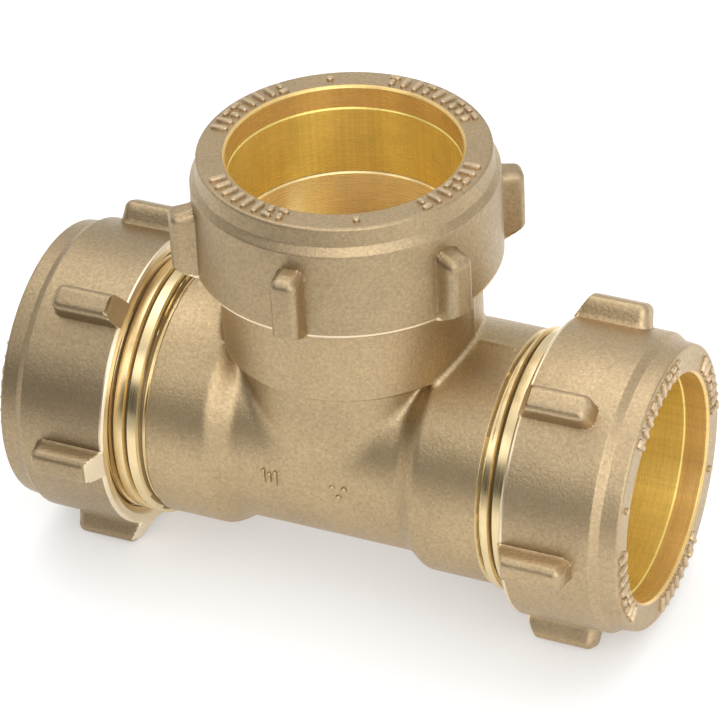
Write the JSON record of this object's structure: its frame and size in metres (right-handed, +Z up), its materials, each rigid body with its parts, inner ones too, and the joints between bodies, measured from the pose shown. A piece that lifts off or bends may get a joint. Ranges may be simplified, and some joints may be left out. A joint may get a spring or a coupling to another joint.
{
  "type": "compression tee fitting",
  "caption": "Brass compression tee for large copper tube: stamped body with threaded ports, lugged union nuts and loose olives.",
  "frame": {"origin": "under the crossing of the run and branch axes, on the surface that the run nuts rest on", "axes": "+X along the run towards the right port, +Z up along the branch, -Y towards the marked side of the body"},
  "size_m": [0.1022, 0.0538, 0.0741],
  "materials": {
    "body_brass": "satin",
    "nut_brass": "satin",
    "olive_brass": "polished"
  },
  "bodies": {
    "tee": {"tee_body": "body_brass"},
    "right_olive": {"right_olive": "olive_brass"},
    "right_nut": {"right_nut": "nut_brass"},
    "left_olive": {"left_olive": "olive_brass"},
    "left_nut": {"left_nut": "nut_brass"},
    "branch_olive": {"branch_olive": "olive_brass"},
    "branch_nut": {"branch_nut": "nut_brass"}
  },
  "joints": [
    {"name": "right_travel", "type": "slide", "parent": "tee", "child": "right_olive", "axis": [1, 0, 0], "range_m": [0, 0.00693]},
    {"name": "right_turn", "type": "hinge", "parent": "right_olive", "child": "right_nut", "pos_m": [0, 0, 0.02431], "axis": [1, 0, 0], "range_deg": [0, 1080]},
    {"name": "left_travel", "type": "slide", "parent": "tee", "child": "left_olive", "axis": [-1, 0, 0], "range_m": [0, 0.00693]},
    {"name": "left_turn", "type": "hinge", "parent": "left_olive", "child": "left_nut", "pos_m": [0, 0, 0.02431], "axis": [-1, 0, 0], "range_deg": [0, 1080]},
    {"name": "branch_travel", "type": "slide", "parent": "tee", "child": "branch_olive", "axis": [0, 0, 1], "range_m": [0, 0.00693]},
    {"name": "branch_turn", "type": "hinge", "parent": "branch_olive", "child": "branch_nut", "pos_m": [0, 0, 0.02431], "axis": [0, 0, 1], "range_deg": [0, 1080]}
  ],
  "couplings": [
    {"joint": "right_travel", "follows": "right_turn", "m_per_rad": 0.0003675},
    {"joint": "left_travel", "follows": "left_turn", "m_per_rad": 0.0003675},
    {"joint": "branch_travel", "follows": "branch_turn", "m_per_rad": 0.0003675}
  ]
}
